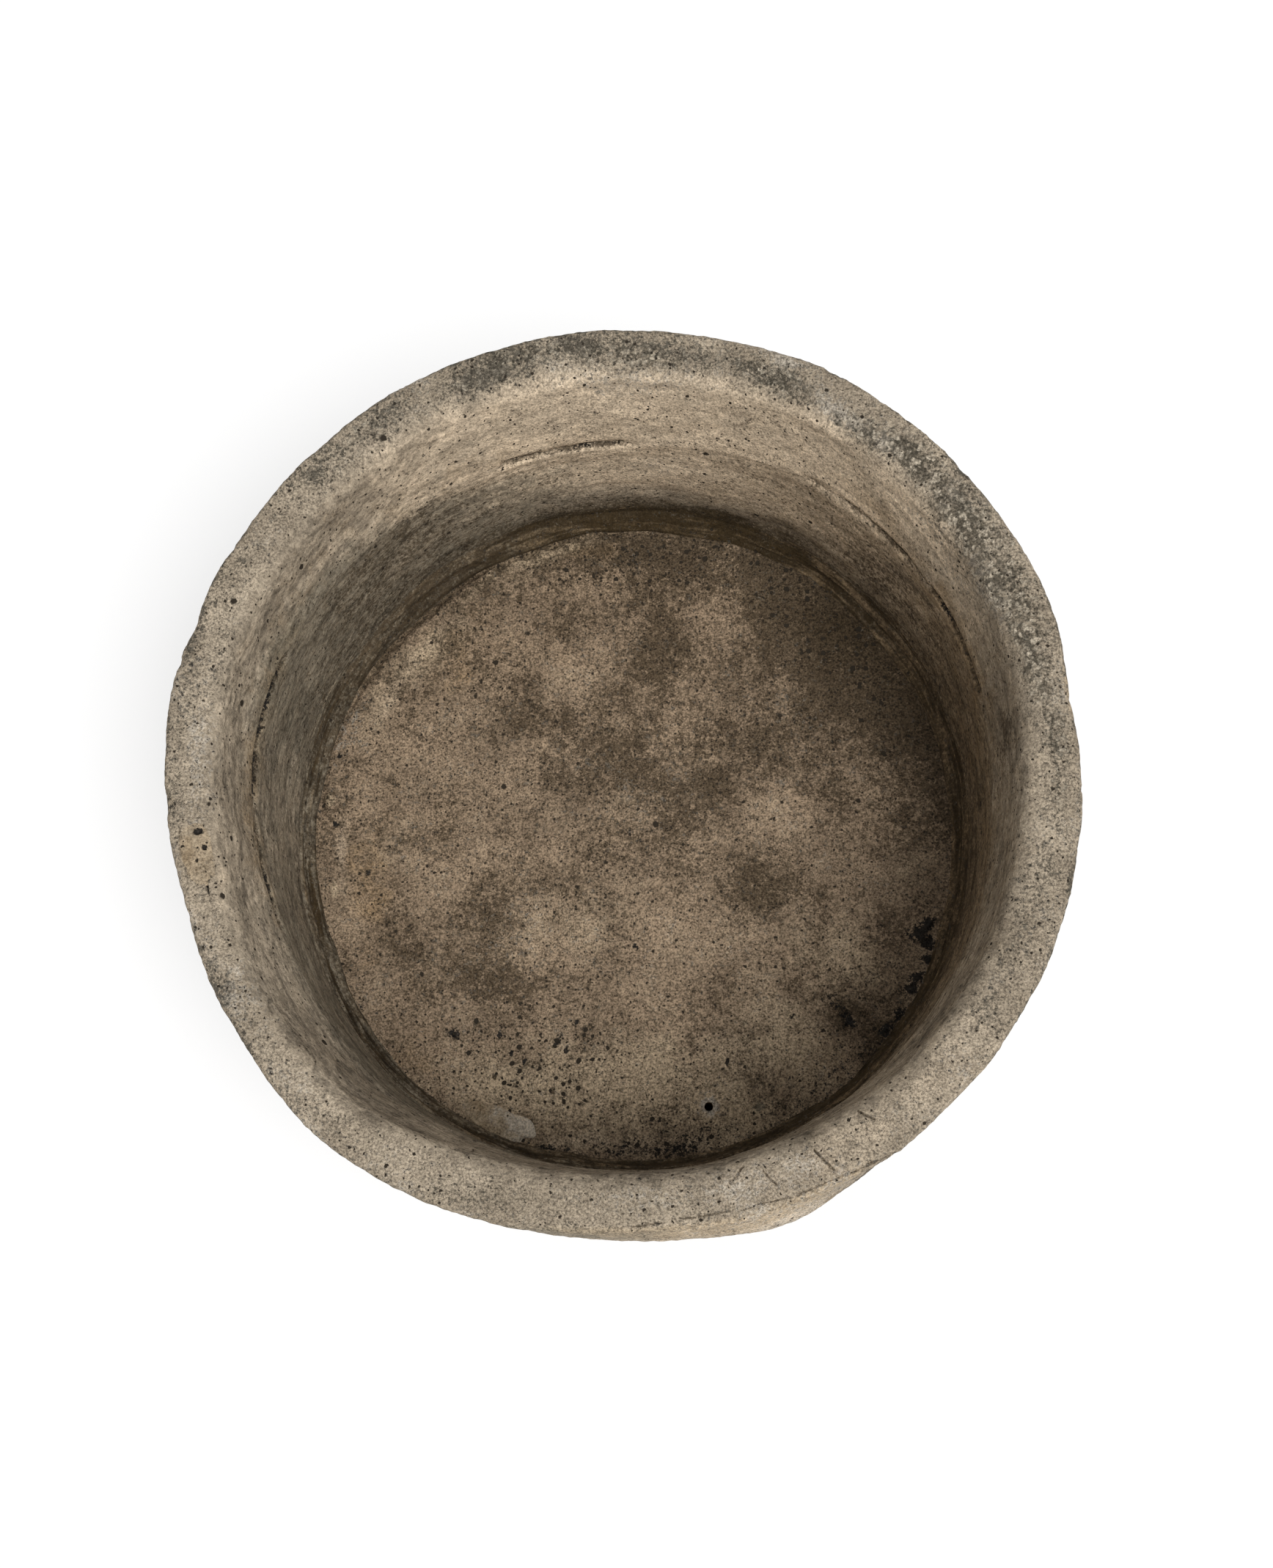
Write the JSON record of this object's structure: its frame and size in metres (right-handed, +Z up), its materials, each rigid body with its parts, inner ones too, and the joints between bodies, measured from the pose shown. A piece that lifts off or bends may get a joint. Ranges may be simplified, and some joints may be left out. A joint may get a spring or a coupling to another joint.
{
  "type": "stone trough planter",
  "caption": "Round, thick-walled cast-stone trough planter, open at the top, with a worn and chipped rim, a lift joint round the wall, a mortar floor and a small drain hole.",
  "frame": {"origin": "centre of the underside, on the ground", "axes": "+Z up, -Y towards the viewer of the picture, +X to that viewer's right"},
  "size_m": [0.8994, 0.8984, 0.37],
  "materials": {
    "cast_stone": "weathered, sandy, with dark lichen on the rim",
    "screed": "trowelled, stained and pitted",
    "mortar": "rough, trowelled",
    "iron": "rusted"
  },
  "bodies": {
    "root": {"base_slab": "cast_stone", "lower_wall": "cast_stone", "rim_course": "cast_stone", "floor_screed": "screed", "foot_fillet": "mortar", "rim_patch": "mortar", "floor_smear": "mortar", "foot_hoop": "iron", "lift_hoop": "iron", "rim_hoop": "iron", "wall_bars": "iron", "mat_bars_lower": "iron", "mat_bars_upper": "iron"}
  },
  "joints": []
}
